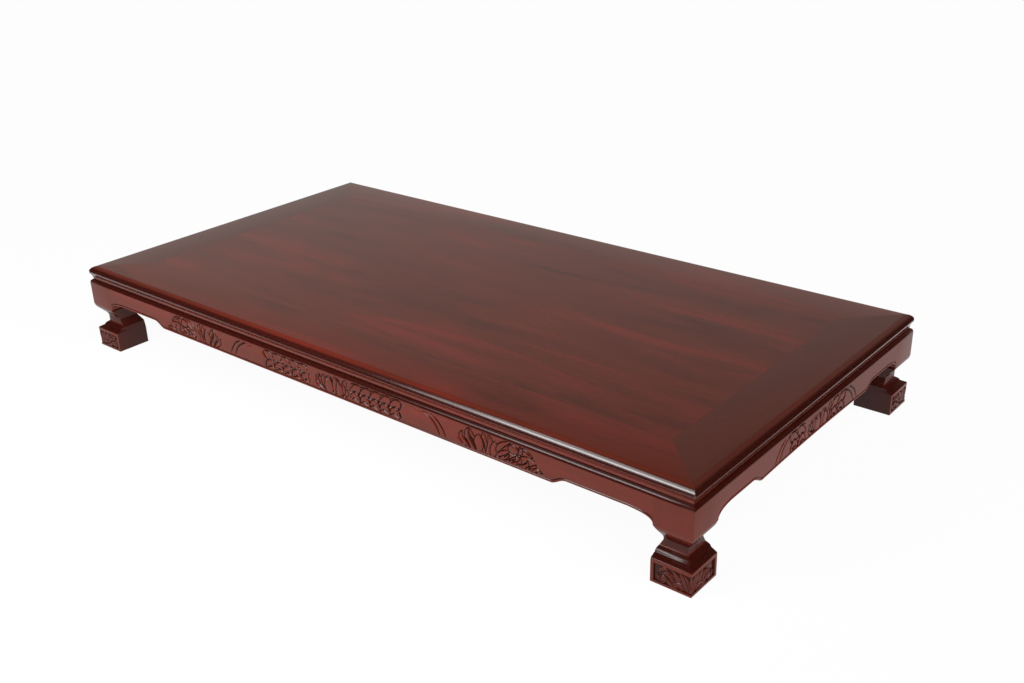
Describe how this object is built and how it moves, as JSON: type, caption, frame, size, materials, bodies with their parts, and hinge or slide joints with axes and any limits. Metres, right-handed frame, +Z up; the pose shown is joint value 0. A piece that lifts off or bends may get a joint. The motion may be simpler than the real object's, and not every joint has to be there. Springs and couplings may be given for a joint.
{
  "type": "kang table",
  "caption": "Low rectangular kang table: mitred frame top with flush panel, narrow waist, ogee aprons and corner legs with necks and square block feet.",
  "frame": {"origin": "on the floor under the middle of the top", "axes": "+X along the length, -Y towards the front long side, +Z up"},
  "size_m": [1.75, 0.895, 0.2115],
  "materials": {
    "lacquered_rosewood": "glossy clear lacquer over red-brown rosewood",
    "panel_rosewood": "glossy clear lacquer over streaked red-brown rosewood",
    "underside_wood": "thinly sealed hardwood, satin"
  },
  "bodies": {
    "root": {"leg_front_left": "lacquered_rosewood", "leg_front_right": "lacquered_rosewood", "leg_back_left": "lacquered_rosewood", "leg_back_right": "lacquered_rosewood", "apron_front": "lacquered_rosewood", "apron_back": "lacquered_rosewood", "apron_left": "lacquered_rosewood", "apron_right": "lacquered_rosewood", "waist_strip_front": "lacquered_rosewood", "waist_strip_back": "lacquered_rosewood", "waist_strip_left": "lacquered_rosewood", "waist_strip_right": "lacquered_rosewood", "top_frame_front": "lacquered_rosewood", "top_frame_back": "lacquered_rosewood", "top_frame_left": "lacquered_rosewood", "top_frame_right": "lacquered_rosewood", "panel_board_1": "panel_rosewood", "panel_board_2": "panel_rosewood", "panel_board_3": "panel_rosewood", "panel_board_4": "panel_rosewood", "panel_board_5": "panel_rosewood", "batten_1": "underside_wood", "batten_2": "underside_wood", "batten_3": "underside_wood", "batten_4": "underside_wood"}
  },
  "joints": []
}
